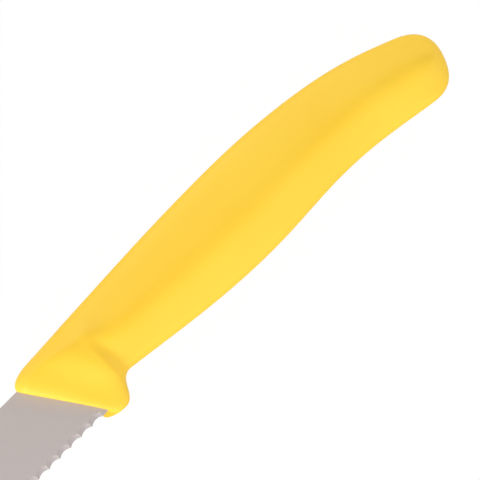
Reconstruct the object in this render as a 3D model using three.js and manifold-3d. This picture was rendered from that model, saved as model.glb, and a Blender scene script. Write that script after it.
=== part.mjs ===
// A small serrated kitchen knife: a stamped stainless blade with a round tip and a scalloped edge,
// and a moulded plastic handle around its tang.
// Millimetres. The knife lies on its side: X runs to the tip, Y to the cutting edge, Z up.
// While it is built, the datum is the point where the spine of the blade leaves the handle,
// and Z is measured from the middle of the blade's thickness.
import * as THREE from "three";
import { mergeVertices } from "three/addons/utils/BufferGeometryUtils.js";
import Module from "manifold-3d";

const wasm = await Module();
wasm.setup();

// Blade
const BLADE_LENGTH = 110;
const BLADE_HEIGHT = 15.8;
const SPINE_THICKNESS = 1.2;
const EDGE_THICKNESS = 0.4; // left by the flat grind, before the scallops are cut
const TIP_EDGE_RADIUS = 5; // the corner between cutting edge and tip; the spine side takes the rest

// Scallops, ground from the upper face
const SCALLOP_PITCH = 3.03;
const SCALLOP_DEPTH = 0.5;
const SCALLOP_ANGLE = 22; // degrees between the ground facet and the face of the blade

// Tang, the narrow part of the blade inside the handle
const HEEL_SETBACK = 12.5; // how far the full height of the blade runs into the handle
const TANG_LENGTH = 60;
const TANG_HEIGHT = 8.5;
const TANG_DROP = 1.9; // from the spine of the blade down to the top of the tang
const TANG_FILLET = 1.5;
const TANG_HOLE_DIAMETER = 4.5;
const TANG_HOLE_INSET = 9; // from the end of the tang to the middle of its last hole
const TANG_HOLE_PITCH = 24;
const CLEARANCE = 0.3; // all around the steel

// Handle: how far each station lies behind the datum
const FRONT_OVERHANG = 0.2; // the front edge reaches this far past the datum
const GUARD_FRONT = 8.6; // where the guard starts under the cutting edge
const RIM_SETBACK = 6; // where the front corner of the back ends
const GUARD_SETBACK = 13.2; // lowest point of the guard
const NOTCH_SETBACK = 19.3; // the notch for the index finger
const GRIP_SETBACK = 57; // tallest and thickest section
const WAIST_SETBACK = 77.5; // shallow hollow for the little finger
const HANDLE_LENGTH = 109.4;
const BUTT_ROUNDING = 6.5; // length of the rounded end, along the back
const BUTT_RAKE = 0.8; // the belly side of the end lies about this much further forward
const BUTT_PULL = 0.7; // more makes the two corners of the butt tighter

// Handle: how far it stands above the spine of the blade at those stations
const RIM_RISE = 2.57;
const NOTCH_RISE = 3.3;
const GRIP_RISE = 4.6;
const WAIST_RISE = 3.45;
const BUTT_FALL = 3; // the butt hangs below the line of the spine

// Handle: slopes of its outline, as fall per millimetre towards the tip
const BACK_SLOPE = 0.05;
const WAIST_BACK_SLOPE = -0.12;
const BUTT_BACK_SLOPE = -0.42;
const NOTCH_SLOPE = -0.13;
const BUTT_BELLY_SLOPE = -0.16;

// Handle: height and thickness of the sections
const GUARD_DEPTH = 2.06; // below the cutting edge
const LIP_DEPTH = 0.2; // below the cutting edge, at the front of the guard
const NOTCH_HEIGHT = 16.2;
const GRIP_HEIGHT = 21.1;
const WAIST_HEIGHT = 19.1;
const BUTT_HEIGHT = 15.4;
const END_TOP = 0.475; // where the blunt end starts and stops, as shares of the height of the butt
const END_LOW = 0.6;
const FRONT_THICKNESS = 2.2; // of the small upright wall around the blade
const NOTCH_THICKNESS = 12.2;
const GRIP_THICKNESS = 14;
const BUTT_THICKNESS = 12.4;
const BLUNT_THICKNESS = 0.9; // left at the very end
const ROLL_SHARE = 0.33; // how much of the rolled front lies ahead of the bolster
const ROLL_SPEED = 0.94; // how fast the rest passes over the bolster; more ends it further ahead of the notch
const LIP_SHARE = 0.75; // how much of that stays thin, as a lip under the cutting edge
const GUARD_SLANT = 0.6; // how much of the bend of the front edge is left in the section at the guard

// Handle: a crest along each side, given as shares of the way from the back to the belly
const FRONT_CREST = 0.12;
const NOTCH_CREST = 0.22;
const GRIP_CREST = 0.58;
const BUTT_CREST = 0.52;
const CREST_BEND = 0.35; // less lets the crest leave the notch more steeply
const CREST_ROUNDING = 0.5; // as a share of the flank
const FLANK_FALL = 0.6; // how much thinner the flanks are at their outer ends
const BACK_RIM_POWER = 10; // more keeps a flank straight for longer
const BELLY_RIM_POWER = 6;
const NOTCH_FULLNESS = 1.8; // how much thicker the outer part of the belly flank is at the notch

// Handle: a crease on each side, which rises from the notch and fades out towards the back
const CREASE_SETBACK = 20; // behind the datum
const CREASE_START = 3; // below the line of the spine
const CREASE_REACH = 2.2;
const CREASE_SHARE = 0.12; // how much thinner the handle is in it

// How finely round shapes are divided
const SECTION_POINTS = 40;
const STEPS_PER_SCALLOP = 8;
const TIP_STEPS = 14;
const ARC_STEPS = 24;
const FLATNESS = 0.001; // triangles this close to one plane are joined into larger ones

const point = (x, y) => new THREE.Vector2(x, y);
const degrees = THREE.MathUtils.degToRad;

// Solids

// A closed skin over a row of rings with equal numbers of points, capped at both ends.
function loft(rings) {
  const count = rings[0].length;
  const index = [];
  for (let ring = 0; ring < rings.length - 1; ring++) {
    for (let i = 0; i < count; i++) {
      const near = ring * count + i;
      const beside = ring * count + ((i + 1) % count);
      index.push(near, beside, beside + count);
      index.push(near, beside + count, near + count);
    }
  }
  const last = (rings.length - 1) * count;
  for (let i = 1; i < count - 1; i++) {
    index.push(0, i + 1, i);
    index.push(last, last + i, last + i + 1);
  }
  const geometry = new THREE.BufferGeometry();
  geometry.setAttribute("position", new THREE.BufferAttribute(new Float32Array(rings.flat(2)), 3));
  geometry.setIndex(index);
  return geometry;
}

function solidFrom(geometry) {
  const bare = geometry.clone();
  bare.deleteAttribute("normal");
  bare.deleteAttribute("uv");
  const merged = mergeVertices(bare);
  const triangles = [];
  for (let i = 0; i < merged.index.count; i += 3) {
    const corners = [0, 1, 2].map((k) => merged.index.getX(i + k));
    if (new Set(corners).size === 3) triangles.push(...corners);
  }
  const mesh = new wasm.Mesh({
    numProp: 3,
    vertProperties: new Float32Array(merged.attributes.position.array),
    triVerts: new Uint32Array(triangles),
  });
  return new wasm.Manifold(mesh);
}

function meshFrom(solid, name, material) {
  const { vertProperties, triVerts } = solid.getMesh();
  const geometry = new THREE.BufferGeometry();
  geometry.setAttribute("position", new THREE.BufferAttribute(vertProperties, 3));
  geometry.setIndex(new THREE.BufferAttribute(triVerts, 1));
  geometry.computeVertexNormals();
  const mesh = new THREE.Mesh(geometry, material);
  mesh.name = name;
  return mesh;
}

// Blade: four-sided sections along X, with a ground facet for the lower side

// Both faces of the blade are flat and draw together towards the cutting edge.
function halfThickness(y) {
  const share = THREE.MathUtils.clamp(y / BLADE_HEIGHT, 0, 1);
  return THREE.MathUtils.lerp(SPINE_THICKNESS, EDGE_THICKNESS, share) / 2;
}

const tipSpineRadius = BLADE_HEIGHT - TIP_EDGE_RADIUS;
const edgeEnd = BLADE_LENGTH - TIP_EDGE_RADIUS;
const scallopCount = Math.floor((edgeEnd + GUARD_FRONT) / SCALLOP_PITCH);
const scallopEnd = scallopCount * SCALLOP_PITCH - GUARD_FRONT;

// How far a circle of this radius has turned away from its tangent after a run along it.
function sagitta(radius, run) {
  return radius - Math.sqrt(Math.max(0, radius ** 2 - run ** 2));
}

function spineLine(x) {
  return sagitta(tipSpineRadius, Math.max(0, x - (BLADE_LENGTH - tipSpineRadius)));
}

function edgeLine(x) {
  const plain = BLADE_HEIGHT - sagitta(TIP_EDGE_RADIUS, Math.max(0, x - edgeEnd));
  if (x < -GUARD_FRONT || x > scallopEnd) return plain;
  const radius = SCALLOP_PITCH ** 2 / (8 * SCALLOP_DEPTH) + SCALLOP_DEPTH / 2;
  const along = (x + GUARD_FRONT) / SCALLOP_PITCH;
  const fromMiddle = (along - Math.floor(along) - 0.5) * SCALLOP_PITCH;
  return plain - SCALLOP_DEPTH + sagitta(radius, fromMiddle);
}

function bladeSection(x) {
  const spine = spineLine(x);
  const edge = edgeLine(x);
  const facet = x > -GUARD_FRONT ? EDGE_THICKNESS / Math.tan(degrees(SCALLOP_ANGLE)) : 0;
  const shoulder = Math.max(edge - facet, (spine + edge) / 2);
  return [
    [x, spine, -halfThickness(spine)],
    [x, edge, -halfThickness(edge)],
    [x, shoulder, halfThickness(shoulder)],
    [x, spine, halfThickness(spine)],
  ];
}

function bladeStations() {
  const stations = [-HEEL_SETBACK];
  const scallopSteps = scallopCount * STEPS_PER_SCALLOP;
  for (let i = 0; i <= scallopSteps; i++) {
    stations.push(-GUARD_FRONT + (i / STEPS_PER_SCALLOP) * SCALLOP_PITCH);
  }
  const tipRun = BLADE_LENGTH - scallopEnd;
  for (let i = 1; i < TIP_STEPS; i++) {
    stations.push(scallopEnd + tipRun * Math.sin(((i / TIP_STEPS) * Math.PI) / 2));
  }
  return stations;
}

// The outline of the tang, with its two holes, grown on every side.
function tangShape(grow) {
  const top = TANG_DROP - grow;
  const bottom = TANG_DROP + TANG_HEIGHT + grow;
  const end = -HEEL_SETBACK - TANG_LENGTH - grow;
  const heel = -HEEL_SETBACK - grow;
  const front = -HEEL_SETBACK + TANG_FILLET;
  const round = (bottom - top) / 2;
  const fillet = TANG_FILLET - grow;

  const shape = new THREE.Shape();
  shape.moveTo(front, top - fillet);
  shape.lineTo(heel, top - fillet);
  shape.absarc(heel - fillet, top - fillet, fillet, 0, Math.PI / 2, false);
  shape.lineTo(end + round, top);
  shape.absarc(end + round, top + round, round, -Math.PI / 2, Math.PI / 2, true);
  shape.lineTo(heel - fillet, bottom);
  shape.absarc(heel - fillet, bottom + fillet, fillet, -Math.PI / 2, 0, false);
  shape.lineTo(front, bottom + fillet);
  shape.closePath();

  const lastHole = -HEEL_SETBACK - TANG_LENGTH + TANG_HOLE_INSET;
  for (const x of [lastHole, lastHole + TANG_HOLE_PITCH]) {
    const hole = new THREE.Path();
    hole.absarc(x, TANG_DROP + TANG_HEIGHT / 2, TANG_HOLE_DIAMETER / 2 - grow, 0, 2 * Math.PI, false);
    shape.holes.push(hole);
  }
  return shape;
}

function tangSolid(grow) {
  const depth = SPINE_THICKNESS + 2 * grow;
  const options = { depth, bevelEnabled: false, curveSegments: ARC_STEPS };
  const geometry = new THREE.ExtrudeGeometry(tangShape(grow), options);
  geometry.translate(0, 0, -depth / 2);
  return solidFrom(geometry);
}

function bladeSolid() {
  const rings = bladeStations().map((x) => bladeSection(x));
  return solidFrom(loft(rings)).add(tangSolid(0)).simplify(FLATNESS);
}

// The slot that the full height of the blade sits in, with straight walls at the clearance.
function slotSection(x) {
  const top = -CLEARANCE;
  const bottom = BLADE_HEIGHT + CLEARANCE;
  const wide = halfThickness(0) + CLEARANCE;
  const narrow = halfThickness(BLADE_HEIGHT) + CLEARANCE;
  return [
    [x, top, -wide],
    [x, bottom, -narrow],
    [x, bottom, narrow],
    [x, top, wide],
  ];
}

// Everything the steel takes up inside the handle, with its clearance.
function steelPocket() {
  const slot = [-HEEL_SETBACK - CLEARANCE, FRONT_OVERHANG + CLEARANCE].map(slotSection);
  return solidFrom(loft(slot)).add(tangSolid(CLEARANCE));
}

// Handle: rounded sections strung between a line along the back and a line along the belly

// A curve that turns one corner.
function corner(from, turn, to, pull = 0.6) {
  const first = from.clone().lerp(turn, pull);
  const second = to.clone().lerp(turn, pull);
  return new THREE.CubicBezierCurve(from, first, second, to);
}

// A curve that leaves one point and reaches the next at the given slopes.
function sweep(from, slopeFrom, to, slopeTo, pull = 0.36) {
  const run = (to.x - from.x) * pull;
  const first = point(from.x + run, from.y + run * slopeFrom);
  const second = point(to.x - run, to.y - run * slopeTo);
  return new THREE.CubicBezierCurve(from, first, second, to);
}

const buttSetback = HANDLE_LENGTH - BUTT_ROUNDING;
const guardLow = BLADE_HEIGHT + GUARD_DEPTH;

const back = {
  front: point(FRONT_OVERHANG, 0),
  rim: point(-RIM_SETBACK, -RIM_RISE),
  notch: point(-NOTCH_SETBACK, -NOTCH_RISE),
  grip: point(-GRIP_SETBACK, -GRIP_RISE),
  waist: point(-WAIST_SETBACK, -WAIST_RISE),
  butt: point(-buttSetback, BUTT_FALL),
  end: point(-HANDLE_LENGTH, BUTT_FALL + END_TOP * BUTT_HEIGHT),
};

const belly = {
  front: point(-GUARD_FRONT, BLADE_HEIGHT + LIP_DEPTH),
  guard: point(-GUARD_SETBACK, guardLow),
  notch: point(-NOTCH_SETBACK, NOTCH_HEIGHT - NOTCH_RISE),
  grip: point(-GRIP_SETBACK, GRIP_HEIGHT - GRIP_RISE),
  waist: point(-WAIST_SETBACK, WAIST_HEIGHT - WAIST_RISE),
  butt: point(-buttSetback + 2 * BUTT_RAKE, BUTT_FALL + BUTT_HEIGHT),
  end: point(-HANDLE_LENGTH + BUTT_RAKE / 2, BUTT_FALL + END_LOW * BUTT_HEIGHT),
};

// Where the outline turns its four outer corners.
const turns = {
  front: point(FRONT_OVERHANG, -RIM_RISE),
  guard: point(-GUARD_FRONT - 4 * LIP_DEPTH, guardLow),
  buttBack: point(back.end.x, back.butt.y - 0.8 * BUTT_BACK_SLOPE * BUTT_ROUNDING),
  buttBelly: point(belly.end.x + 2.6 * BUTT_RAKE, belly.butt.y + BUTT_RAKE),
};

// The front edge of the handle lies across the blade in a slanting S.
const frontEdge = new THREE.CubicBezierCurve(
  back.front,
  point(-0.1 * GUARD_FRONT, 0.18 * BLADE_HEIGHT),
  point(-0.98 * GUARD_FRONT, 0.73 * BLADE_HEIGHT),
  belly.front,
);

const waistShare = (WAIST_SETBACK - GRIP_SETBACK) / (buttSetback - GRIP_SETBACK);
const ease = (from, to, share) => THREE.MathUtils.lerp(from, to, THREE.MathUtils.smoothstep(share, 0, 1));
const quarterUp = (share) => Math.sqrt(1 - (1 - share) ** 2);

// The front rolls up over the bolster, and has its full thickness a little ahead of the notch.
function roll(share) {
  return THREE.MathUtils.lerp(FRONT_THICKNESS, NOTCH_THICKNESS, quarterUp(share));
}

// It starts to do so at once, except at the guard, which begins as a thin lip.
function frontThickness(share, place) {
  const lip = LIP_SHARE * THREE.MathUtils.smoothstep(place, 0.7, 0.95);
  return roll(ROLL_SHARE * Math.max(0, (share - lip) / (1 - lip)));
}

// The share of the thickness that is left at a height between -1, the back, over 0, the crest, to 1, the belly.
function sectionShare(height, fullness) {
  const rise = (run) => Math.hypot(run, CREST_ROUNDING) - CREST_ROUNDING;
  const flank = 1 - (FLANK_FALL * rise(height)) / rise(1);
  const full = THREE.MathUtils.lerp(1, fullness, THREE.MathUtils.smoothstep(height, 0.4, 0.9));
  const power = height > 0 ? BELLY_RIM_POWER : BACK_RIM_POWER;
  return full * flank * Math.sqrt(1 - Math.abs(height) ** power);
}

// What the crease leaves of the thickness at a place on the side of the handle.
function creaseShare(place) {
  const away = Math.hypot(place.x + CREASE_SETBACK, Math.min(0, place.y - CREASE_START));
  return 1 - CREASE_SHARE * Math.max(0, 1 - away / CREASE_REACH) ** 2;
}

// One zone after another from the front to the end. Share runs from 0 to 1 through each zone.
const zones = [
  {
    back: corner(back.front, turns.front, back.rim),
    belly: corner(belly.front, turns.guard, belly.guard),
    steps: 18,
    spread: (share) => share ** 2,
    thickness: frontThickness,
    crest: () => FRONT_CREST,
    slant: (share) => 1 - (1 - GUARD_SLANT) * share,
  },
  {
    back: sweep(back.rim, BACK_SLOPE, back.notch, BACK_SLOPE),
    belly: sweep(belly.guard, 0, belly.notch, 0, 0.55),
    steps: 16,
    thickness: (share) => roll(Math.min(1, ROLL_SHARE + ROLL_SPEED * share)),
    crest: (share) => ease(FRONT_CREST, NOTCH_CREST, share),
    fullness: (share) => ease(1, NOTCH_FULLNESS, share),
    slant: (share) => GUARD_SLANT * (1 - share),
  },
  {
    back: sweep(back.notch, BACK_SLOPE, back.grip, 0),
    belly: sweep(belly.notch, NOTCH_SLOPE, belly.grip, 0),
    steps: 16,
    spread: (share) => share ** 1.6,
    thickness: (share) => ease(NOTCH_THICKNESS, GRIP_THICKNESS, share),
    crest: (share) => THREE.MathUtils.lerp(NOTCH_CREST, GRIP_CREST, share ** CREST_BEND),
    fullness: (share) => ease(NOTCH_FULLNESS, 1, 4 * share),
  },
  {
    back: sweep(back.grip, 0, back.waist, WAIST_BACK_SLOPE),
    belly: sweep(belly.grip, 0, belly.waist, 0),
    steps: 8,
    thickness: (share) => ease(GRIP_THICKNESS, BUTT_THICKNESS, waistShare * share),
    crest: () => GRIP_CREST,
  },
  {
    back: sweep(back.waist, WAIST_BACK_SLOPE, back.butt, BUTT_BACK_SLOPE),
    belly: sweep(belly.waist, 0, belly.butt, BUTT_BELLY_SLOPE),
    steps: 8,
    thickness: (share) => ease(GRIP_THICKNESS, BUTT_THICKNESS, waistShare + (1 - waistShare) * share),
    crest: (share) => ease(GRIP_CREST, BUTT_CREST, share),
  },
  {
    back: corner(back.butt, turns.buttBack, back.end, BUTT_PULL),
    belly: corner(belly.butt, turns.buttBelly, belly.end, BUTT_PULL),
    steps: 10,
    spread: (share) => Math.sin((share * Math.PI) / 2),
    thickness: (share) => Math.max(BLUNT_THICKNESS, BUTT_THICKNESS * quarterUp(1 - share)),
    crest: () => BUTT_CREST,
  },
];

function handleSection(zone, share) {
  const top = zone.back.getPoint(share);
  const low = zone.belly.getPoint(share);
  const slant = zone.slant ? zone.slant(share) : 0;
  const fullness = zone.fullness ? zone.fullness(share) : 1;
  const crest = zone.crest(share);
  const ring = [];
  for (let i = 0; i < SECTION_POINTS; i++) {
    const turn = (-2 * Math.PI * i) / SECTION_POINTS;
    const height = Math.cos(turn);
    const place = crest + height * (height < 0 ? crest : 1 - crest);
    const straight = back.front.clone().lerp(belly.front, place);
    const sway = frontEdge.getPoint(place).sub(straight).multiplyScalar(slant);
    const middle = top.clone().lerp(low, place).add(sway);
    const thickness = zone.thickness(share, place) * sectionShare(height, fullness);
    ring.push([middle.x, middle.y, (Math.sign(Math.sin(turn)) * thickness * creaseShare(middle)) / 2]);
  }
  return ring;
}

function handleSolid() {
  const rings = [];
  zones.forEach((zone, order) => {
    const spread = zone.spread ?? ((share) => share);
    for (let step = order === 0 ? 0 : 1; step <= zone.steps; step++) {
      rings.push(handleSection(zone, spread(step / zone.steps)));
    }
  });
  return solidFrom(loft(rings)).subtract(steelPocket());
}

const steel = new THREE.MeshStandardMaterial({ color: "#bbb2b0", roughness: 0.35, metalness: 1 });
const plastic = new THREE.MeshStandardMaterial({ color: "#fed444", roughness: 0.45, metalness: 0 });

const knife = new THREE.Group();
knife.name = "serrated_knife";
knife.add(meshFrom(bladeSolid(), "blade", steel));
knife.add(meshFrom(handleSolid(), "handle", plastic));

// The origin is the middle of the underside of the whole knife.
const box = new THREE.Box3().setFromObject(knife);
const centre = box.getCenter(new THREE.Vector3());
knife.position.set(-centre.x, -centre.y, -box.min.z);

const group = new THREE.Group();
group.add(knife);
export default group;
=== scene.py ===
# %% [markdown]
# # A small serrated knife
# The knife has two pieces: a stamped stainless blade with a scalloped edge, and a plastic handle that is
# moulded around its tang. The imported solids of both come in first, as a fixed frame. They have the right
# size and place, but flat facets, so this lesson models each piece again with a finer surface.

# %% Load the frame
import math

import bmesh
import bpy
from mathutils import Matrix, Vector


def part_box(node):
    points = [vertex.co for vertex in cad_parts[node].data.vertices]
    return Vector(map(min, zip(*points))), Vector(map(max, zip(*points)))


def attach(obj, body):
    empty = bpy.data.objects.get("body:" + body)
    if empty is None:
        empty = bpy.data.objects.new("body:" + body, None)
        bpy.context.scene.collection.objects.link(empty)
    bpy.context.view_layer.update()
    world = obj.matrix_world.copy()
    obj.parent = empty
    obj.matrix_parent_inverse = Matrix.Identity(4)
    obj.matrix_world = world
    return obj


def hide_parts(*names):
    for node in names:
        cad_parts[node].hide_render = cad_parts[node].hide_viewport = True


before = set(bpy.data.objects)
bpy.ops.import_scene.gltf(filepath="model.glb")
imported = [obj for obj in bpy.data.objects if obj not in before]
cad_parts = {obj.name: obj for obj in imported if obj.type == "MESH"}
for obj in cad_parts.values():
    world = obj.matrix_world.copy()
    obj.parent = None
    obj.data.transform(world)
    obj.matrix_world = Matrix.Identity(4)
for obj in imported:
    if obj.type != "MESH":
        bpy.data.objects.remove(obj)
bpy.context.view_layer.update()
print("solids:", sorted(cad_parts))

# %% [markdown]
# All sizes below are millimetres from one datum: the point where the spine of the blade leaves the handle,
# at half the thickness of the blade. X runs to the tip, Y to the cutting edge and Z up. The datum is found
# from the boxes of the two solids, so the new pieces land exactly where the solids are.

# %% Datum
MM = 0.001
BLADE_LENGTH = 110

blade_low, blade_high = (Vector(corner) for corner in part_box("blade"))
handle_low, handle_high = (Vector(corner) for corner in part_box("handle"))
datum = Vector((blade_high.x - BLADE_LENGTH * MM, blade_low.y, (handle_low.z + handle_high.z) / 2))


def at(x, y, z=0.0):
    """The place in the frame of a point in millimetres from the datum."""
    return datum + Vector((x, y, z)) * MM


def from_datum(place):
    """The other way round: a place in the frame, as millimetres from the datum."""
    return (place - datum) / MM


print("datum in mm:", [round(v / MM, 3) for v in datum])

# %% [markdown]
# Operators act on what is selected, so three small helpers come next. One takes a new primitive's place,
# turn and size into its mesh, so that the object itself stays at the origin. One selects points, edges or
# faces by a test on where their middles are. One cuts or joins two solids and removes the tool.

# %% Helpers for modelling
NEAR = 0.01  # places closer than this count as the same


def settle(name):
    """Names the primitive that was just added and puts its place, turn and size into its mesh."""
    piece = bpy.context.object
    piece.name = name
    piece.data.name = name
    bpy.ops.object.transform_apply(location=True, rotation=True, scale=True)
    return piece


def select(kind, test):
    """In edit mode, selects the points, edges or faces for which the test is true, and counts them."""
    bpy.ops.mesh.select_mode(type=kind)
    bpy.ops.mesh.select_all(action="DESELECT")
    mesh = bmesh.from_edit_mesh(bpy.context.object.data)
    parts = {"VERT": mesh.verts, "EDGE": mesh.edges, "FACE": mesh.faces}[kind]
    parts.index_update()
    count = 0
    for part in parts:
        corners = [part] if kind == "VERT" else part.verts
        middle = sum((corner.co for corner in corners), Vector()) / len(corners)
        if test(from_datum(middle), part):
            part.select_set(True)
            count += 1
    mesh.select_flush_mode()
    bmesh.update_edit_mesh(bpy.context.object.data)
    return count


def combine(piece, tool, operation, tool_crosses_itself=False):
    """Cuts the tool out of the piece, or joins it on, and removes the tool."""
    modifier = piece.modifiers.new(operation.lower(), "BOOLEAN")
    modifier.operation = operation
    modifier.object = tool
    modifier.solver = "EXACT"
    modifier.use_self = tool_crosses_itself
    modifier.material_mode = "TRANSFER"
    bpy.context.view_layer.objects.active = piece
    bpy.ops.object.modifier_apply(modifier=modifier.name)
    bpy.data.objects.remove(tool)


bpy.ops.object.select_all(action="DESELECT")

# %% [markdown]
# ## Blade
# The real blade is stamped from 1.2 mm sheet and ground on both faces, so that it thins towards the edge.
# A cube of the full size is the start. Its face at the cutting edge is scaled down in Z, which tapers both
# sides at once.

# %% Blade: the tapered plate
BLADE_HEIGHT = 15.8
SPINE_THICKNESS = 1.2
EDGE_THICKNESS = 0.4
HEEL_SETBACK = 12.5  # how far the full height of the blade runs into the handle

plate_length = BLADE_LENGTH + HEEL_SETBACK
bpy.ops.mesh.primitive_cube_add(
    size=MM,
    location=at(BLADE_LENGTH - plate_length / 2, BLADE_HEIGHT / 2),
    scale=(plate_length, BLADE_HEIGHT, SPINE_THICKNESS),
)
blade = settle("scalloped_blade")

bpy.ops.object.mode_set(mode="EDIT")
select("FACE", lambda middle, face: face.normal.y > 0.9)
thinner = EDGE_THICKNESS / SPINE_THICKNESS
bpy.ops.transform.resize(value=(1, 1, thinner), center_override=at(0, BLADE_HEIGHT))
print("plate:", plate_length, "x", BLADE_HEIGHT, "x", SPINE_THICKNESS, "mm")

# %% [markdown]
# The tip is round. Its two upright corner edges are bevelled in many segments, each with the radius that
# the corner has: a large one on the spine side and a small one on the cutting side. A last narrow bevel
# takes the sharpness off the spine, as tumbling does on the stamped blank, and catches a thin highlight.

# %% Blade: round tip and eased spine
TIP_EDGE_RADIUS = 5
TIP_FLAT = 0.02  # left between the two radii, so that they don't meet in one point
TIP_SEGMENTS = 20
SPINE_EASING = 0.12
EASING_SEGMENTS = 2

tip_spine_radius = BLADE_HEIGHT - TIP_EDGE_RADIUS - TIP_FLAT
for height, radius in ((0, tip_spine_radius), (BLADE_HEIGHT, TIP_EDGE_RADIUS)):
    select("EDGE", lambda middle, edge: middle.x > BLADE_LENGTH - NEAR and abs(middle.y - height) < NEAR)
    bpy.ops.mesh.bevel(offset=radius * MM, segments=TIP_SEGMENTS, affect="EDGES")


def is_eased(middle, edge):
    """True for the long edges of the spine and the tip, not at the heel or along the cutting edge."""
    run = edge.verts[1].co - edge.verts[0].co
    upright = abs(run.z) > 0.5 * run.length
    return not upright and middle.y < BLADE_HEIGHT - NEAR and middle.x > NEAR - HEEL_SETBACK


count = select("EDGE", is_eased)
bpy.ops.mesh.bevel(offset=SPINE_EASING * MM, segments=EASING_SEGMENTS, affect="EDGES")
bpy.ops.object.mode_set(mode="OBJECT")
print("eased edges:", count)

# %% [markdown]
# Inside the handle the blade narrows to a tang. It can't be seen, but the handle's pocket is cut with it,
# so it is modelled too: a second plate with a rounded end, joined on, and two holes through which the
# plastic flows.

# %% Blade: tang
TANG_LENGTH = 60
TANG_HEIGHT = 8.5
TANG_DROP = 1.9  # from the spine down to the top of the tang
TANG_HOLE_DIAMETER = 4.5
TANG_HOLE_INSET = 9
TANG_HOLE_PITCH = 24
TANG_OVERLAP = 3  # how far the plate of the tang runs into the blade before they are joined
TANG_SEGMENTS = 12
HOLE_SIDES = 48

tang_end = -HEEL_SETBACK - TANG_LENGTH
tang_middle = TANG_DROP + TANG_HEIGHT / 2
bpy.ops.mesh.primitive_cube_add(
    size=MM,
    location=at(tang_end + (TANG_LENGTH + TANG_OVERLAP) / 2, tang_middle),
    scale=(TANG_LENGTH + TANG_OVERLAP, TANG_HEIGHT, SPINE_THICKNESS),
)
tang = settle("tang")
bpy.ops.object.mode_set(mode="EDIT")
select("EDGE", lambda middle, edge: middle.x < tang_end + NEAR and abs(middle.z) < NEAR)
bpy.ops.mesh.bevel(offset=(TANG_HEIGHT / 2 - TIP_FLAT) * MM, segments=TANG_SEGMENTS, affect="EDGES")
bpy.ops.object.mode_set(mode="OBJECT")

for order in range(2):
    bpy.ops.mesh.primitive_cylinder_add(
        vertices=HOLE_SIDES,
        radius=TANG_HOLE_DIAMETER / 2 * MM,
        depth=2 * SPINE_THICKNESS * MM,
        location=at(tang_end + TANG_HOLE_INSET + order * TANG_HOLE_PITCH, tang_middle),
    )
    combine(tang, settle("tang_hole"), "DIFFERENCE")
combine(blade, tang, "UNION")
print("tang ends", tang_end, "mm from the datum")

# %% [markdown]
# The handle's pocket has to fit the steel. A copy of the blade, grown by a hair along its normals, is kept
# for that before the scallops are cut.

# %% Blade: a grown copy for the pocket
POCKET_GROWTH = 0.02

bpy.ops.object.select_all(action="DESELECT")
blade.select_set(True)
bpy.context.view_layer.objects.active = blade
bpy.ops.object.duplicate()
pocket = bpy.context.object
pocket.name = "pocket"
bpy.ops.object.mode_set(mode="EDIT")
bpy.ops.mesh.select_all(action="SELECT")
bpy.ops.transform.shrink_fatten(value=POCKET_GROWTH * MM)
bpy.ops.object.mode_set(mode="OBJECT")
print("pocket:", POCKET_GROWTH, "mm larger than the blade on every side")

# %% [markdown]
# The scallops are ground from one side by a wheel that leans over the edge, so each is a slice of a
# cylinder. One cylinder is added in that lean, trimmed to a little more than one pitch by bisecting it on
# both sides, and repeated along the edge by an Array. Cutting with this comb leaves the curved facets and
# the points between them. The radius follows from the pitch and the depth of the scallops.

# %% Blade: scallops
SCALLOP_PITCH = 3.03
SCALLOP_DEPTH = 0.5
SCALLOP_START = -8.6
SCALLOP_COUNT = 37
GRIND_ANGLE = math.radians(22)
COMB_OVERLAP = 0.03
WHEEL_LENGTH = 8
WHEEL_SIDES = 180

taper = (SPINE_THICKNESS - EDGE_THICKNESS) / 2 / BLADE_HEIGHT
bite = SCALLOP_DEPTH * (math.sin(GRIND_ANGLE) + taper * math.cos(GRIND_ANGLE))
wheel_radius = SCALLOP_PITCH ** 2 / (8 * bite) + bite / 2
first_x = SCALLOP_START + SCALLOP_PITCH / 2
valley = Vector((first_x, BLADE_HEIGHT - SCALLOP_DEPTH, -EDGE_THICKNESS / 2 - taper * SCALLOP_DEPTH))
axis = valley + wheel_radius * Vector((0, math.sin(GRIND_ANGLE), math.cos(GRIND_ANGLE)))

bpy.ops.mesh.primitive_cylinder_add(
    vertices=WHEEL_SIDES,
    radius=wheel_radius * MM,
    depth=WHEEL_LENGTH * MM,
    location=at(*axis),
    rotation=(math.pi / 2 - GRIND_ANGLE, 0, 0),
)
comb = settle("comb")
bpy.ops.object.mode_set(mode="EDIT")
for side in (-1, 1):
    bpy.ops.mesh.select_all(action="SELECT")
    bpy.ops.mesh.bisect(
        plane_co=at(first_x + side * (SCALLOP_PITCH / 2 + COMB_OVERLAP), 0),
        plane_no=(side, 0, 0),
        use_fill=True,
        clear_outer=True,
    )
bpy.ops.object.mode_set(mode="OBJECT")
row = comb.modifiers.new("row", "ARRAY")
row.count = SCALLOP_COUNT
row.use_relative_offset = False
row.use_constant_offset = True
row.constant_offset_displace = (SCALLOP_PITCH * MM, 0, 0)
bpy.ops.object.modifier_apply(modifier=row.name)
print("grinding radius", round(wheel_radius, 2), "mm,", SCALLOP_COUNT, "scallops")

# %% [markdown]
# ## Handle
# The handle is one moulding. Its side view is drawn by two lines, one along the back and one along the
# belly, from the rounded front over the guard and the notch for the index finger to the butt. Each line is
# a chain of Bézier curves between a few stations. Some of them turn a corner, and the others sweep from
# one slope to the next. Rings are then strung between the two lines.

# %% Handle: stations
FRONT_OVERHANG = 0.2
back_front = Vector((FRONT_OVERHANG, 0))
back_rim = Vector((-6, -2.57))
back_notch = Vector((-19.3, -3.3))
back_grip = Vector((-57, -4.6))
back_waist = Vector((-77.5, -3.45))
back_butt = Vector((-102.9, 3))
back_end = Vector((-109.35, 10.3))
back_front_turn = Vector((FRONT_OVERHANG, -2.57))
back_butt_turn = Vector((-109.5, 5.2))

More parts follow.
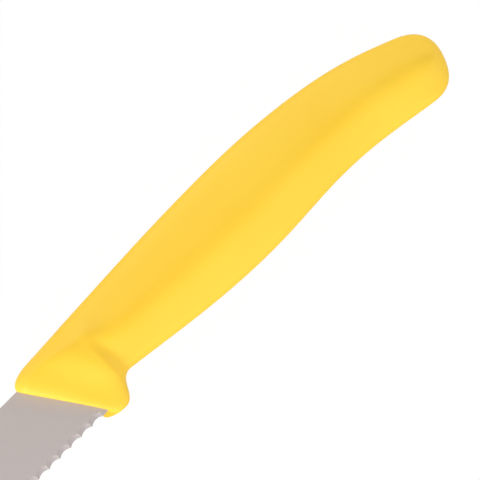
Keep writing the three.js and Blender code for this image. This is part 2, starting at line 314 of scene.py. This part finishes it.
belly_front = Vector((-10.6, 15.75))
belly_guard = Vector((-13.2, 17.86))
belly_notch = Vector((-19.3, 12.9))
belly_grip = Vector((-57, 16.5))
belly_waist = Vector((-77.5, 15.65))
belly_butt = Vector((-101.3, 18.4))
belly_end = Vector((-109, 12.2))
belly_front_turn = Vector((-10.9, 17.86))
belly_butt_turn = Vector((-106.9, 19.1))

BOLSTER_BACK_SLOPE = 0.05  # the slopes are the change of Y per X
WAIST_BACK_SLOPE = -0.12
BUTT_BACK_SLOPE = -0.42
NOTCH_BELLY_SLOPE = -0.13
BUTT_BELLY_SLOPE = -0.16

CORNER_PULL = 0.6  # more pulls a curve closer to its corner
BUTT_PULL = 0.7
SWEEP_PULL = 0.36  # more keeps a curve on its end slopes for longer
GUARD_PULL = 0.55


def corner(start, turn, end, pull=CORNER_PULL):
    """A curve that turns one corner."""
    return start, start.lerp(turn, pull), end.lerp(turn, pull), end


def sweep(start, start_slope, end, end_slope, pull=SWEEP_PULL):
    """A curve that leaves one station and reaches the next at the given slopes."""
    run = (end.x - start.x) * pull
    return start, start + run * Vector((1, start_slope)), end - run * Vector((1, end_slope)), end


def point_on(curve, share):
    """The point that divides a curve at the given share of its way."""
    first, second, third, fourth = curve
    middle = second.lerp(third, share)
    near = first.lerp(second, share).lerp(middle, share)
    far = middle.lerp(third.lerp(fourth, share), share)
    return near.lerp(far, share)


print("handle from", round(back_end.x, 2), "to", round(back_front.x, 2), "mm")

# %% [markdown]
# The zones run from the front to the end. Each has a stretch of both lines, a number of rings, the
# thickness that the handle has along it and the place of the crest between the two lines. The rolled front
# and the butt follow a quarter of an ellipse, so their rings stand closer together where the surface turns
# fastest. The front begins with an upright wall around the blade, and its roll runs on through the second
# zone, the bolster, up to the notch. The belly flank of the bolster swells, and the step where the swelling
# ends is the crease that rises from the notch.

# %% Handle: zones
BLUNT_THICKNESS = 0.9  # at the very end of the butt
FRONT_THICKNESS = 2.2  # where the whole roll would start
NOTCH_THICKNESS = 12.2
GRIP_THICKNESS = 14
BUTT_THICKNESS = 12.4
ROLL_START = 0.045  # how much of the roll is cut off by the upright wall around the blade
ROLL_SHARE = 0.33  # how much of the roll lies in the first zone
ROLL_SPEED = 0.94  # how fast the rest passes through the second, so that it ends ahead of the notch

FRONT_CREST = 0.12  # where the crest lies between the back, 0, and the belly, 1
NOTCH_CREST = 0.36
GRIP_CREST = 0.555
BUTT_CREST = 0.47
CREST_BEND = 0.15  # less turns the crest sooner behind the notch
SWELLING = 1.085  # how much thicker the belly flank of the bolster gets, step by step towards its rim
FRONT_CROWDING = 2  # above 1 the rings crowd at the start of a zone
GRIP_CROWDING = 1.6


def ease(start, end, share):
    """A value that leaves the start and reaches the end without a kink."""
    return start + (end - start) * share * share * (3 - 2 * share)


def quarter(share):
    """The height of a quarter of a circle that rises steeply at first."""
    return math.sqrt(max(0, 1 - (1 - share) ** 2))


def roll(share):
    """The thickness along the roll of the front."""
    return FRONT_THICKNESS + (NOTCH_THICKNESS - FRONT_THICKNESS) * quarter(share)


def thinning(share):
    """The thickness on the way from the grip to the butt."""
    return ease(GRIP_THICKNESS, BUTT_THICKNESS, share)


waist_share = (back_grip.x - back_waist.x) / (back_grip.x - back_butt.x)
zones = [
    {
        "back": corner(back_front, back_front_turn, back_rim),
        "belly": corner(belly_front, belly_front_turn, belly_guard),
        "rings": 12,
        "spread": lambda share: share ** FRONT_CROWDING,
        "thickness": lambda share: roll(ROLL_START + (ROLL_SHARE - ROLL_START) * share),
        "crest": lambda share: FRONT_CREST,
    },
    {
        "back": sweep(back_rim, BOLSTER_BACK_SLOPE, back_notch, BOLSTER_BACK_SLOPE),
        "belly": sweep(belly_guard, 0, belly_notch, 0, pull=GUARD_PULL),
        "rings": 16,
        "thickness": lambda share: roll(min(1, ROLL_SHARE + ROLL_SPEED * share)),
        "crest": lambda share: ease(FRONT_CREST, NOTCH_CREST, share),
        "fullness": lambda share: 1 + (SWELLING - 1) * math.sin(math.pi * share ** 2),
    },
    {
        "back": sweep(back_notch, BOLSTER_BACK_SLOPE, back_grip, 0),
        "belly": sweep(belly_notch, NOTCH_BELLY_SLOPE, belly_grip, 0),
        "rings": 12,
        "spread": lambda share: share ** GRIP_CROWDING,
        "thickness": lambda share: ease(NOTCH_THICKNESS, GRIP_THICKNESS, share),
        "crest": lambda share: NOTCH_CREST + (GRIP_CREST - NOTCH_CREST) * share ** CREST_BEND,
    },
    {
        "back": sweep(back_grip, 0, back_waist, WAIST_BACK_SLOPE),
        "belly": sweep(belly_grip, 0, belly_waist, 0),
        "rings": 5,
        "thickness": lambda share: thinning(waist_share * share),
        "crest": lambda share: GRIP_CREST,
    },
    {
        "back": sweep(back_waist, WAIST_BACK_SLOPE, back_butt, BUTT_BACK_SLOPE),
        "belly": sweep(belly_waist, 0, belly_butt, BUTT_BELLY_SLOPE),
        "rings": 6,
        "thickness": lambda share: thinning(waist_share + (1 - waist_share) * share),
        "crest": lambda share: ease(GRIP_CREST, BUTT_CREST, share),
    },
    {
        "back": corner(back_butt, back_butt_turn, back_end, pull=BUTT_PULL),
        "belly": corner(belly_butt, belly_butt_turn, belly_end, pull=BUTT_PULL),
        "rings": 9,
        "spread": lambda share: math.sin(share * math.pi / 2),
        "thickness": lambda share: max(BLUNT_THICKNESS, BUTT_THICKNESS * quarter(1 - share)),
        "crest": lambda share: BUTT_CREST,
    },
]


def lean_of(top, low):
    """How far the line from the back to the belly leans from Y, about Z."""
    return math.atan2(top.x - low.x, low.y - top.y)


stations = []
for zone in zones:
    spread = zone.get("spread", lambda share: share)
    fullness = zone.get("fullness", lambda share: 1)
    for ring in range(1 if stations else 0, zone["rings"] + 1):
        share = spread(ring / zone["rings"])
        top, low = point_on(zone["back"], share), point_on(zone["belly"], share)
        crest = top.lerp(low, zone["crest"](share))
        stations.append(
            {
                "crest": crest,
                "lean": lean_of(top, low),
                "back": (crest - top).length,
                "belly": (low - crest).length,
                "thickness": zone["thickness"](share),
                "fullness": fullness(share),
            }
        )
print("rings:", len(stations))

# %% [markdown]
# The section of the handle is an oval with a soft crest along each side: the flanks fall away from the
# crest almost straight and then round off to the back and the belly. Heights run from -1, the back, over 0,
# the crest, to 1, the belly.

# %% Handle: section
FLANK_FALL = 0.75  # how much thinner the flanks are at their outer ends
BACK_ROUNDING = 0.2  # how slowly a flank bends away from the crest
BELLY_ROUNDING = 0.26
RIM_POWER = 14  # more keeps a flank straight for longer


def section(height):
    """The share of the thickness that is left at a height."""
    rounding = BELLY_ROUNDING if height > 0 else BACK_ROUNDING
    fall = (math.hypot(height, rounding) - rounding) / (math.hypot(1, rounding) - rounding)
    return (1 - FLANK_FALL * fall) * math.sqrt(1 - abs(height) ** RIM_POWER)


print("thickness from back to belly:", [round(section(step / 5 - 1), 2) for step in range(11)])

# %% [markdown]
# One circle is the first ring. Its points are moved in Z, two at a time, until the circle has that
# section. Then the ring is extruded from station to station. Each new ring is turned upright, resized on
# both sides of its crest and in its thickness, leaned as far as the new station leans, and moved there.
# Where the bolster swells, the belly flank is made fuller in steps that start further and further from the
# crest, so that it swells most at its rim.

# %% Handle: extrude the rings
RING_POINTS = 48
FULL_STEPS = (0.2, 0.35, 0.45, 0.65, 0.75, 0.9)  # shares of the belly flank from which it is made fuller

ring_step = 2 * math.pi / RING_POINTS


def move_ring(old, new):
    """Brings the newest ring from one station to the next."""
    first = len(bmesh.from_edit_mesh(handle.data).verts) - RING_POINTS
    crest = old["crest"]
    middle = at(*crest)
    bpy.ops.transform.rotate(value=old["lean"], orient_axis="Z", center_override=middle)
    for half, side in (("back", -1), ("belly", 1)):
        select("VERT", lambda place, point: point.index >= first and side * (place.y - crest.y) > NEAR)
        bpy.ops.transform.resize(value=(1, new[half] / old[half], 1), center_override=middle)
    if new["fullness"] != old["fullness"]:
        fuller = new["fullness"] / old["fullness"]
        for step in FULL_STEPS:
            bound = crest.y + step * new["belly"]
            select("VERT", lambda place, point: point.index >= first and place.y > bound)
            bpy.ops.transform.resize(value=(1, 1, fuller), center_override=middle)
    select("VERT", lambda place, point: point.index >= first)
    bpy.ops.transform.resize(value=(1, 1, new["thickness"] / old["thickness"]), center_override=middle)
    bpy.ops.transform.rotate(value=-new["lean"], orient_axis="Z", center_override=middle)
    bpy.ops.transform.translate(value=at(*new["crest"]) - middle)


circle = {"crest": stations[0]["crest"], "lean": 0, "back": 1, "belly": 1, "thickness": 2, "fullness": 1}
bpy.ops.mesh.primitive_circle_add(
    vertices=RING_POINTS, radius=MM, location=at(*circle["crest"]), rotation=(0, -math.pi / 2, 0)
)
handle = settle("moulded_handle")
bpy.ops.object.mode_set(mode="EDIT")
for step in range(1, RING_POINTS // 2):
    height = -math.cos(step * ring_step)
    select("VERT", lambda place, point: abs(place.y - circle["crest"].y - height) < NEAR)
    narrower = section(height) / math.sin(step * ring_step)
    bpy.ops.transform.resize(value=(1, 1, narrower), center_override=at(*circle["crest"]))

bpy.ops.mesh.select_all(action="SELECT")
move_ring(circle, stations[0])
for old, new in zip(stations, stations[1:]):
    bpy.ops.mesh.select_mode(type="EDGE")
    bpy.ops.mesh.extrude_region_move()
    move_ring(old, new)
bpy.ops.object.mode_set(mode="OBJECT")
print("points:", len(handle.data.vertices))

# %% [markdown]
# Under the cutting edge a thin lip of plastic reaches further forward than the rest of the front. Only the
# row of points along the belly is wanted for it, so all others are hidden, and its first few points are
# pulled forward with proportional editing, which takes the next ones along less and less. A crease keeps
# the lip thin when the skin is subdivided.

# %% Handle: pull out the lip
LIP_FORWARD = 2.0
LIP_ROOT = 0.1  # how far behind the first point the row is pulled all the way
LIP_REACH = 3.2  # how far behind that the pull is still felt


def off_belly_row(place, point):
    """True for all points but the row along the belly, where the two sides meet."""
    return abs(place.z) > NEAR or place.y < BLADE_HEIGHT / 2


bpy.ops.object.mode_set(mode="EDIT")
select("VERT", off_belly_row)
bpy.ops.mesh.hide(unselected=False)
lip_points = select("VERT", lambda place, point: not point.hide and place.x > belly_front.x - LIP_ROOT)
bpy.ops.transform.translate(
    value=(LIP_FORWARD * MM, 0, 0),
    use_proportional_edit=True,
    proportional_edit_falloff="SMOOTH",
    proportional_size=LIP_REACH * MM,
)
lip_edges = select("EDGE", lambda middle, edge: not edge.hide and middle.x > belly_front.x - LIP_REACH / 2)
bpy.ops.transform.edge_crease(value=1)
bpy.ops.mesh.reveal(select=False)
bpy.ops.object.mode_set(mode="OBJECT")
print("lip:", lip_points, "points pulled,", lip_edges, "edges creased")

# %% [markdown]
# On the bolster and on the butt the crest fades out, and the step behind the bolster is soft. So the points
# there are smoothed, all but those near the outline.

# %% Handle: let the crest fade
OUTLINE_MARGIN = 2.5  # points closer to the middle plane than this keep their place
SMOOTHING = 0.5

fading = {  # where each stretch begins and ends, and how often it is smoothed
    "step behind the bolster": (-23, -15, 4),
    "bolster": (-16.5, 0, 6),
    "butt": (-110, -97, 10),
}
bpy.ops.object.mode_set(mode="EDIT")
for stretch, (rear, front, repeats) in fading.items():
    count = select("VERT", lambda place, point: rear < place.x < front and abs(place.z) > OUTLINE_MARGIN)
    bpy.ops.mesh.vertices_smooth(factor=SMOOTHING, repeat=repeats)
    print(stretch, "smoothed:", count, "points")

# %% [markdown]
# The crease between bolster and grip fades out towards the back. To deepen it a little, the points that
# stand in it are scaled down in Z, and proportional editing with a sharp falloff takes the next ones along.

# %% Handle: press in the crease
CREASE_PLACE = -18.3
CREASE_MARGIN = 0.4  # points this close to it are pressed in all the way
CREASE_END = 4  # from the spine line
CREASE_DEPTH = 0.015  # share of the thickness
CREASE_REACH = 2.2


def in_crease(place, point):
    """True for the points that stand in the crease."""
    return abs(place.x - CREASE_PLACE) < CREASE_MARGIN and place.y > CREASE_END


count = select("VERT", in_crease)
bpy.ops.transform.resize(
    value=(1, 1, 1 - CREASE_DEPTH),
    center_override=at(*belly_notch),
    use_proportional_edit=True,
    proportional_edit_falloff="SHARP",
    proportional_size=CREASE_REACH * MM,
)
bpy.ops.object.mode_set(mode="OBJECT")
print("crease:", count, "points pressed in")

# %% [markdown]
# Subdivision makes the skin smooth. The two open ends are closed with upright walls: their edges are
# extruded, flattened to the middle plane and merged there. All faces are turned outwards and split into
# flat triangles, which the boolean cuts more cleanly than bent quads. Then the grown copy of the blade cuts
# the pocket, so that the plastic closes tightly around the steel.

# %% Handle: smooth, close and cut the pocket
SEAM_DISTANCE = 0.001
SUBDIVISIONS = 2

smooth = handle.modifiers.new("smooth", "SUBSURF")
smooth.levels = SUBDIVISIONS
smooth.render_levels = SUBDIVISIONS
bpy.ops.object.modifier_apply(modifier=smooth.name)
bpy.ops.object.mode_set(mode="EDIT")
count = select("EDGE", lambda middle, edge: edge.is_boundary)
bpy.ops.mesh.extrude_region_move()
bpy.ops.transform.resize(value=(1, 1, 0), center_override=datum)
bpy.ops.mesh.select_all(action="SELECT")
bpy.ops.mesh.remove_doubles(threshold=SEAM_DISTANCE * MM)
bpy.ops.mesh.normals_make_consistent(inside=False)
bpy.ops.mesh.quads_convert_to_tris()
bpy.ops.object.mode_set(mode="OBJECT")
combine(handle, pocket, "DIFFERENCE")
print("handle:", count, "open edges closed,", len(handle.data.polygons), "faces")

# %% [markdown]
# ## Finishes
# Colours are written as on a screen, in sRGB, and one function turns them to the linear values that the
# shaders use. A second function adds a node, with its settings and its links, so that each material reads
# as a short list.

# %% Helpers for materials
NOISE_LOW = 0.3  # most values of a noise lie between these two
NOISE_HIGH = 0.7


def linear(colour):
    """An sRGB hex colour as linear red, green, blue and alpha."""
    channels = [int(colour[i:i + 2], 16) / 255 for i in (1, 3, 5)]
    return [c / 12.92 if c <= 0.04045 else ((c + 0.055) / 1.055) ** 2.4 for c in channels] + [1]


def add_node(material, kind, settings, links):
    """Adds a node. Settings are its inputs or properties by name, links name the socket for an input."""
    node = material.node_tree.nodes.new(kind)
    for name, value in settings.items():
        if isinstance(name, int) or name in node.inputs:
            node.inputs[name].default_value = value
        else:
            setattr(node, name, value)
    for name, socket in links.items():
        material.node_tree.links.new(socket, node.inputs[name])
    return node


def new_material(name):
    """A material without any nodes yet."""
    material = bpy.data.materials.new(name)
    material.use_nodes = True
    material.node_tree.nodes.clear()
    return material


def finish_material(material, shader):
    """Makes the shader the surface of the material."""
    add_node(material, "ShaderNodeOutputMaterial", {}, {"Surface": shader.outputs[0]})
    return material


# %% [markdown]
# The handle is injection-moulded polypropylene. The mould was spark-eroded, so the skin is satin: it
# spreads highlights into broad soft patches. Its grain is about 0.1 mm, too fine for the picture, so it is
# drawn at 0.3 mm and kept shallow. The pigment is even, with a faint drift where the melt flowed.

# %% Finish: moulded polypropylene
GRAIN = 0.3 * MM
GRAIN_DEPTH = 0.05 * MM
GRAIN_STRENGTH = 0.15
FLOW = 25 * MM
SATIN_SMOOTH = 0.46  # the roughness drifts between these two
SATIN_ROUGH = 0.54
PLASTIC_IOR = 1.49

moulded = new_material("moulded_polypropylene")
where = add_node(moulded, "ShaderNodeTexCoord", {}, {})
flow = add_node(
    moulded, "ShaderNodeTexNoise", {"Scale": 1 / FLOW, "Detail": 2.0}, {"Vector": where.outputs["Object"]}
)
pigment = add_node(moulded, "ShaderNodeValToRGB", {}, {"Fac": flow.outputs["Fac"]})
pigment.color_ramp.elements[0].position = NOISE_LOW
pigment.color_ramp.elements[0].color = linear("#fbcb2a")
pigment.color_ramp.elements[1].position = NOISE_HIGH
pigment.color_ramp.elements[1].color = linear("#fdcf31")
grain = add_node(
    moulded, "ShaderNodeTexNoise", {"Scale": 1 / GRAIN, "Detail": 3.0}, {"Vector": where.outputs["Object"]}
)
satin = add_node(
    moulded,
    "ShaderNodeMapRange",
    {"From Min": NOISE_LOW, "From Max": NOISE_HIGH, "To Min": SATIN_SMOOTH, "To Max": SATIN_ROUGH},
    {"Value": grain.outputs["Fac"]},
)
skin = add_node(
    moulded,
    "ShaderNodeBump",
    {"Strength": GRAIN_STRENGTH, "Distance": GRAIN_DEPTH},
    {"Height": grain.outputs["Fac"]},
)
plastic = add_node(
    moulded,
    "ShaderNodeBsdfPrincipled",
    {"IOR": PLASTIC_IOR},
    {
        "Base Color": pigment.outputs["Color"],
        "Roughness": satin.outputs["Result"],
        "Normal": skin.outputs["Normal"],
    },
)
finish_material(moulded, plastic)
print("finish:", moulded.name)

# %% [markdown]
# The faces of the blade are ground stainless steel. The belt leaves fine lines from the spine to the edge,
# about 0.05 mm apart. They are drawn 0.15 mm apart, stretched along Y, and change both the roughness and
# the slope of the surface a little. Across the lines the steel spreads reflections far more than along
# them, so the shader is anisotropic, and the plastic shows as a warm band beside it. The scallops get a
# second finish, smoother, because the wheel that cut them was finer. Their colour is darker than that of
# the faces: this is painted shade for the tilted facets, not a property of the steel.

# %% Finish: ground stainless steel
LINE_SPACING = 0.15 * MM
LINE_LENGTH = 12 * MM
LINE_DEPTH = 0.02 * MM
LINE_STRENGTH = 0.05
ANISOTROPY = 0.8


def ground_steel(name, colour, smooth_end, rough_end):
    """Steel with grinding lines along Y. Its roughness drifts between the two ends."""
    steel = new_material(name)
    place = add_node(steel, "ShaderNodeTexCoord", {}, {})
    stretch = add_node(
        steel,
        "ShaderNodeMapping",
        {"Scale": (1 / LINE_SPACING, 1 / LINE_LENGTH, 1 / LINE_SPACING)},
        {"Vector": place.outputs["Object"]},
    )
    lines = add_node(
        steel, "ShaderNodeTexNoise", {"Scale": 1.0, "Detail": 2.0}, {"Vector": stretch.outputs["Vector"]}
    )
    polish = add_node(
        steel,
        "ShaderNodeMapRange",
        {"From Min": NOISE_LOW, "From Max": NOISE_HIGH, "To Min": smooth_end, "To Max": rough_end},
        {"Value": lines.outputs["Fac"]},
    )
    groove = add_node(
        steel,
        "ShaderNodeBump",
        {"Strength": LINE_STRENGTH, "Distance": LINE_DEPTH},
        {"Height": lines.outputs["Fac"]},
    )
    across = add_node(
        steel,
        "ShaderNodeVectorTransform",
        {"convert_from": "OBJECT", "convert_to": "WORLD", "Vector": (1, 0, 0)},
        {},
    )
    metal = add_node(
        steel,
        "ShaderNodeBsdfPrincipled",
        {"Base Color": linear(colour), "Metallic": 1.0, "Anisotropic": ANISOTROPY},
        {
            "Roughness": polish.outputs["Result"],
            "Normal": groove.outputs["Normal"],
            "Tangent": across.outputs["Vector"],
        },
    )
    return finish_material(steel, metal)


belt_ground = ground_steel("belt_ground_stainless", "#cfc6c3", 0.48, 0.56)
# The scallop steel is smoother, and its darker colour is painted shade for the tilted facets.
shaded_wheel_ground = ground_steel("shaded_wheel_ground_stainless", "#bdb4b2", 0.46, 0.52)
print("finishes:", belt_ground.name, "and", shaded_wheel_ground.name)

# %% [markdown]
# The boolean hands the comb's material to the faces that it cuts, so the scallops take their own finish and
# their painted shade without any face being picked by hand. Shading is smoothed only across shallow angles,
# which keeps the shoulder of each scallop crisp.

# %% Dress the pieces
BLADE_ANGLE = 12  # degrees, up to which the shading is smoothed
HANDLE_ANGLE = 40

blade.data.materials.clear()
blade.data.materials.append(belt_ground)
comb.data.materials.append(shaded_wheel_ground)
combine(blade, comb, "DIFFERENCE", tool_crosses_itself=True)
handle.data.materials.clear()
handle.data.materials.append(moulded)

for piece, angle in ((blade, BLADE_ANGLE), (handle, HANDLE_ANGLE)):
    bpy.ops.object.select_all(action="DESELECT")
    piece.select_set(True)
    bpy.context.view_layer.objects.active = piece
    bpy.ops.object.shade_smooth_by_angle(angle=math.radians(angle))
    print(piece.name, len(piece.data.polygons), "faces,", [slot.name for slot in piece.material_slots])

for piece, node, finish in ((blade, "blade", "blade_steel"), (handle, "handle", "handle_plastic")):
    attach(piece, "root")
    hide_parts(node)

# %% [markdown]
# ## Picture
# The knife lies on a table and is seen from straight above. To the camera and to reflections the table
# glows, so that it comes out white. A share of plain matt grey is left in it, on which the knife leaves its
# faint shadow, and which sends little light up to the rims of the handle.

# %% Table
TABLE_SIZE = 4
WHITE_SHARE = 0.92
GLOW = 1.07  # makes up for the darker share

bpy.ops.mesh.primitive_plane_add(size=TABLE_SIZE, location=(0, 0, 0))
table = settle("table")

paper = new_material("glowing_paper")
rays = add_node(paper, "ShaderNodeLightPath", {}, {})
direct = add_node(
    paper,
    "ShaderNodeMath",
    {"operation": "MAXIMUM"},
    {0: rays.outputs["Is Camera Ray"], 1: rays.outputs["Is Glossy Ray"]},
)
through = add_node(
    paper,
    "ShaderNodeMath",
    {"operation": "MAXIMUM"},
    {0: direct.outputs[0], 1: rays.outputs["Is Transmission Ray"]},
)
share = add_node(
    paper, "ShaderNodeMath", {"operation": "MULTIPLY", 1: WHITE_SHARE}, {0: through.outputs[0]}
)
matt = add_node(paper, "ShaderNodeBsdfDiffuse", {"Color": linear("#808080")}, {})
glow = add_node(paper, "ShaderNodeEmission", {"Color": linear("#ffffff"), "Strength": GLOW}, {})
sheet = add_node(
    paper, "ShaderNodeMixShader", {}, {0: share.outputs[0], 1: matt.outputs[0], 2: glow.outputs[0]}
)
finish_material(paper, sheet)
table.data.materials.append(paper)
print("table:", TABLE_SIZE, "m wide,", WHITE_SHARE, "of it glowing")

# %% [markdown]
# The room is a white tent. Its walls are lit, so it is brightest along the horizon and darker overhead.
# Light from the walls falls on the flanks of the handle and misses the crest, which comes out as a soft
# darker line. The dim top of the tent is what the steel reflects.

# %% Room
WALL_LEVEL = 2.36  # along the horizon
TOP_LEVEL = 0.65
WALL_TOP = 0.6  # the sine of the elevation where the walls end

world = bpy.data.worlds.new("studio")
bpy.context.scene.world = world
world.use_nodes = True
world.node_tree.nodes.clear()
where_to = add_node(world, "ShaderNodeTexCoord", {}, {})
parts = add_node(world, "ShaderNodeSeparateXYZ", {}, {0: where_to.outputs["Generated"]})
level = add_node(
    world,
    "ShaderNodeMapRange",
    {"From Max": WALL_TOP, "To Min": WALL_LEVEL, "To Max": TOP_LEVEL},
    {"Value": parts.outputs["Z"]},
)
walls = add_node(
    world, "ShaderNodeBackground", {"Color": linear("#ffffff")}, {"Strength": level.outputs["Result"]}
)
add_node(world, "ShaderNodeOutputWorld", {}, {"Surface": walls.outputs[0]})
print("room:", WALL_LEVEL, "at the walls,", TOP_LEVEL, "overhead")

# %% [markdown]
# Three strip boxes stand low around the knife. The one on the side of the belly makes that flank the
# brighter one, a weaker one lights the back, and the strongest stands beyond the tip. It lights the roll of
# the bolster and leaves the crease behind it dark.

# %% Lights
LAMP_DISTANCE = 1.2
STRIP_WIDTH = 0.8
STRIP_HEIGHT = 0.2

handle_middle = at(-53, 8)


def strip_box(name, azimuth, elevation, power):
    """A wide lamp that is aimed at the middle of the handle. The angles are in degrees."""
    across = math.cos(math.radians(elevation))
    way = Vector(
        (
            across * math.cos(math.radians(azimuth)),
            across * math.sin(math.radians(azimuth)),
            math.sin(math.radians(elevation)),
        )
    )
    bpy.ops.object.light_add(type="AREA", location=handle_middle + LAMP_DISTANCE * way)
    lamp = bpy.context.object
    lamp.name = name
    lamp.data.name = name
    lamp.data.shape = "RECTANGLE"
    lamp.data.size = STRIP_WIDTH
    lamp.data.size_y = STRIP_HEIGHT
    lamp.data.energy = power
    lamp.rotation_euler = (-way).to_track_quat("-Z", "Y").to_euler()
    print(name, "lamp:", power, "W")


strip_box("belly_side", azimuth=50, elevation=15, power=3.0)
strip_box("spine_side", azimuth=270, elevation=12, power=1.4)
strip_box("beyond_tip", azimuth=5, elevation=16, power=5.7)

# %% [markdown]
# The picture shows 97 mm of the table, so a long lens from 0.8 m away sees the whole handle with almost no
# perspective. The camera is turned about its own axis until the blade points to the lower left.

# %% Camera
PICTURE_WIDTH = 96.97 * MM
DISTANCE = 0.8
SENSOR = 36
TURN = 135  # degrees

picture_middle = at(-53.35, 10.235)
bpy.ops.object.camera_add(
    location=picture_middle + Vector((0, 0, DISTANCE)), rotation=(0, 0, math.radians(TURN))
)
camera = bpy.context.object
camera.data.sensor_width = SENSOR
camera.data.lens = SENSOR * DISTANCE / PICTURE_WIDTH
bpy.context.scene.camera = camera
bpy.context.scene.view_settings.view_transform = "Standard"
print("lens:", round(camera.data.lens), "mm")
